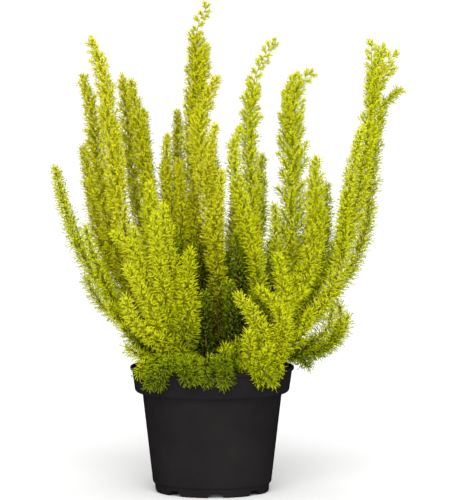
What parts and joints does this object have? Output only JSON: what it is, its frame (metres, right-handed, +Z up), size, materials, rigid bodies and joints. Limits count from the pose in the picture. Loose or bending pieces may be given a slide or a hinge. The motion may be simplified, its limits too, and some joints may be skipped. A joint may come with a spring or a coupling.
{
  "type": "potted tree heath",
  "caption": "Bushy tree heath with upright, finely needled lime-green sprays growing from a root ball in a round black nursery pot.",
  "frame": {"origin": "centre of the pot's underside, on the surface that it stands on", "axes": "+Z up along the pot's axis, -Y towards the front of the picture, +X to its right"},
  "size_m": [0.2796, 0.1766, 0.3887],
  "materials": {
    "pot": "satin moulded polypropylene, near black",
    "soil": "damp peat and bark crumb",
    "young_foliage": "fine lime-yellow young needles on tan stems, matt with a slight wax sheen",
    "foliage": "fine yellow-green needles on tan stems, matt with a slight wax sheen",
    "shaded_foliage": "darker olive needles on brown stems, matt"
  },
  "bodies": {
    "root": {"pot": "pot", "soil": "soil", "spray_left_outer": "foliage", "spray_left_bulge": "foliage", "spray_left_back": "foliage", "spray_left_tall": "young_foliage", "spray_back_left": "foliage", "spray_mid_left": "foliage", "spray_centre_left": "young_foliage", "spray_centre_back": "shaded_foliage", "spray_centre_tall": "foliage", "spray_centre_front": "young_foliage", "spray_mid_front": "young_foliage", "spray_mid_tall": "foliage", "spray_right_mid_tall": "foliage", "spray_right_inner": "young_foliage", "spray_right_back": "shaded_foliage", "spray_right_tall": "young_foliage", "spray_right_outer": "foliage", "spray_right_low": "foliage", "spray_right_low_inner": "foliage", "spray_front_left": "young_foliage", "spray_front_left_outer": "young_foliage", "spray_front_mid_left": "foliage", "spray_left_mid": "young_foliage", "spray_front_right": "young_foliage", "spray_front_right_outer": "young_foliage", "spray_rear_left": "foliage", "spray_rear_left_low": "foliage", "spray_rear_mid_left": "foliage", "spray_rear_mid": "foliage", "spray_rear_low": "young_foliage", "spray_rear_mid_right": "foliage", "spray_rear_right": "foliage", "spray_rear_right_low": "young_foliage", "spray_rim_left": "young_foliage", "spray_rim_front_left": "foliage", "spray_rim_front": "foliage", "spray_rim_front_inner": "shaded_foliage", "spray_rim_front_right": "foliage", "spray_rim_right": "foliage", "spray_rim_rear_left": "foliage", "spray_rim_rear_right": "foliage"}
  },
  "joints": []
}
